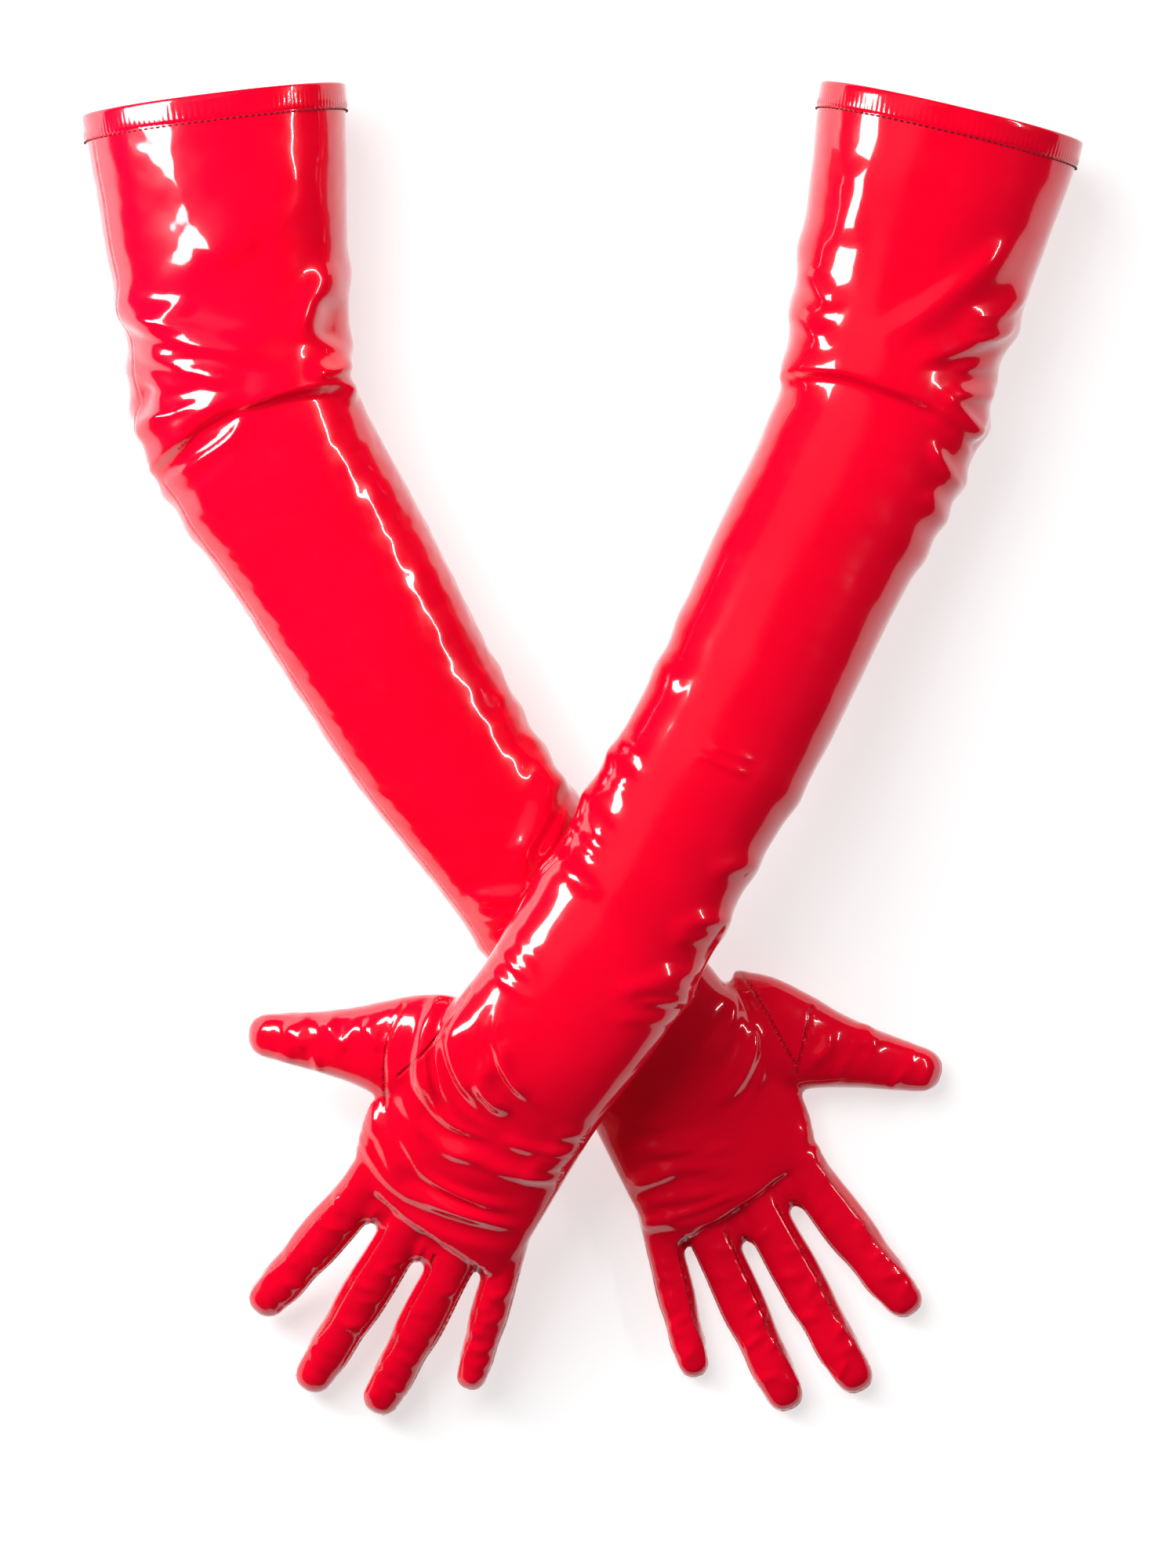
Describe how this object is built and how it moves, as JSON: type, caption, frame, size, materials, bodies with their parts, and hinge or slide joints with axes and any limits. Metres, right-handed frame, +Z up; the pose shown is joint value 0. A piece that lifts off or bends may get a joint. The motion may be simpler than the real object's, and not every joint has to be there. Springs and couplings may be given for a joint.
{
  "type": "opera gloves",
  "caption": "Pair of long coated stretch gloves past the elbow, filled out as worn and laid crossed at the wrists, with hinged elbows, wrists, thumbs and fingers.",
  "frame": {"origin": "under the middle of the pair's box, on the surface it lies on", "axes": "+Y from the fingertips to the sleeve openings, +X towards the right glove's sleeve, +Z up out of the palms"},
  "size_m": [0.4208, 0.563, 0.1038],
  "materials": {
    "vinyl": "gloss",
    "thread": "satin"
  },
  "bodies": {
    "left_upper": {"left_upper_sleeve_front": "vinyl", "left_upper_sleeve_back": "vinyl", "left_hem_stitching": "thread", "left_hem_band": "vinyl"},
    "left_forearm": {"left_forearm_front": "vinyl", "left_forearm_back": "vinyl"},
    "left_hand": {"left_thumb_gusset": "vinyl", "left_palm": "vinyl", "left_hand_back": "vinyl"},
    "left_thumb": {"left_thumb_front": "vinyl", "left_thumb_back": "vinyl"},
    "left_index": {"left_index_front": "vinyl", "left_index_back": "vinyl", "left_index_fourchette_far": "vinyl"},
    "left_middle": {"left_middle_front": "vinyl", "left_middle_back": "vinyl", "left_middle_fourchette_near": "vinyl", "left_middle_fourchette_far": "vinyl"},
    "left_ring": {"left_ring_front": "vinyl", "left_ring_back": "vinyl", "left_ring_fourchette_near": "vinyl", "left_ring_fourchette_far": "vinyl"},
    "left_little": {"left_little_front": "vinyl", "left_little_back": "vinyl", "left_little_fourchette_near": "vinyl"},
    "right_upper": {"right_upper_sleeve_front": "vinyl", "right_upper_sleeve_back": "vinyl", "right_hem_stitching": "thread", "right_hem_band": "vinyl"},
    "right_forearm": {"right_forearm_front": "vinyl", "right_forearm_back": "vinyl"},
    "right_hand": {"right_thumb_gusset": "vinyl", "right_palm": "vinyl", "right_hand_back": "vinyl"},
    "right_thumb": {"right_thumb_front": "vinyl", "right_thumb_back": "vinyl"},
    "right_index": {"right_index_front": "vinyl", "right_index_back": "vinyl", "right_index_fourchette_far": "vinyl"},
    "right_middle": {"right_middle_front": "vinyl", "right_middle_back": "vinyl", "right_middle_fourchette_near": "vinyl", "right_middle_fourchette_far": "vinyl"},
    "right_ring": {"right_ring_front": "vinyl", "right_ring_back": "vinyl", "right_ring_fourchette_near": "vinyl", "right_ring_fourchette_far": "vinyl"},
    "right_little": {"right_little_front": "vinyl", "right_little_back": "vinyl", "right_little_fourchette_near": "vinyl"}
  },
  "joints": [
    {"name": "left_elbow", "type": "hinge", "parent": "left_forearm", "child": "left_upper", "pos_m": [-0.13765, 0.13512, 0.036], "axis": [0.9385, 0.3453, 0], "range_deg": [0, 60]},
    {"name": "left_wrist_swing", "type": "hinge", "parent": "left_forearm", "child": "left_hand", "pos_m": [0.02046, -0.10559, 0.024], "axis": [0, 0, 1], "range_deg": [-10, 10]},
    {"name": "left_thumb_base", "type": "hinge", "parent": "left_hand", "child": "left_thumb", "pos_m": [0.09458, -0.12423, 0.012], "axis": [-0.213, -0.977, 0], "range_deg": [0, 35]},
    {"name": "left_index_knuckle", "type": "hinge", "parent": "left_hand", "child": "left_index", "pos_m": [0.09438, -0.17534, 0.009], "axis": [-0.7934, -0.6088, 0], "range_deg": [0, 60]},
    {"name": "left_middle_knuckle", "type": "hinge", "parent": "left_hand", "child": "left_middle", "pos_m": [0.07659, -0.1911, 0.009], "axis": [-0.8746, -0.4848, 0], "range_deg": [0, 60]},
    {"name": "left_ring_knuckle", "type": "hinge", "parent": "left_hand", "child": "left_ring", "pos_m": [0.05521, -0.20133, 0.0088], "axis": [-0.9085, -0.4179, 0], "range_deg": [0, 60]},
    {"name": "left_little_knuckle", "type": "hinge", "parent": "left_hand", "child": "left_little", "pos_m": [0.03584, -0.20363, 0.008], "axis": [-0.9715, -0.2368, 0], "range_deg": [0, 60]},
    {"name": "right_glove_lift", "type": "slide", "parent": "left_forearm", "child": "right_forearm", "axis": [0, 0, 1], "range_m": [0, 0.12]},
    {"name": "right_elbow", "type": "hinge", "parent": "right_forearm", "child": "right_upper", "pos_m": [0.12414, 0.13335, 0.036], "axis": [0.9348, -0.3551, 0], "range_deg": [0, 60]},
    {"name": "right_wrist", "type": "hinge", "parent": "right_forearm", "child": "right_hand", "pos_m": [-0.01284, -0.11999, 0.07812], "axis": [-0.809, 0.5878, 0], "range_deg": [0, 40]},
    {"name": "right_thumb_base", "type": "hinge", "parent": "right_hand", "child": "right_thumb", "pos_m": [-0.07965, -0.12518, 0.05661], "axis": [0.045, 0.9836, 0.1748], "range_deg": [0, 35]},
    {"name": "right_index_knuckle", "type": "hinge", "parent": "right_hand", "child": "right_index", "pos_m": [-0.0872, -0.18151, 0.04292], "axis": [-0.7614, 0.6481, 0.0163], "range_deg": [0, 60]},
    {"name": "right_middle_knuckle", "type": "hinge", "parent": "right_hand", "child": "right_middle", "pos_m": [-0.07022, -0.19812, 0.04219], "axis": [-0.8472, 0.5312, -0.0145], "range_deg": [0, 60]},
    {"name": "right_ring_knuckle", "type": "hinge", "parent": "right_hand", "child": "right_ring", "pos_m": [-0.04942, -0.20947, 0.04263], "axis": [-0.8835, 0.4674, -0.03], "range_deg": [0, 60]},
    {"name": "right_little_knuckle", "type": "hinge", "parent": "right_hand", "child": "right_little", "pos_m": [-0.0302, -0.21279, 0.04364], "axis": [-0.9536, 0.2932, -0.0687], "range_deg": [0, 60]}
  ]
}
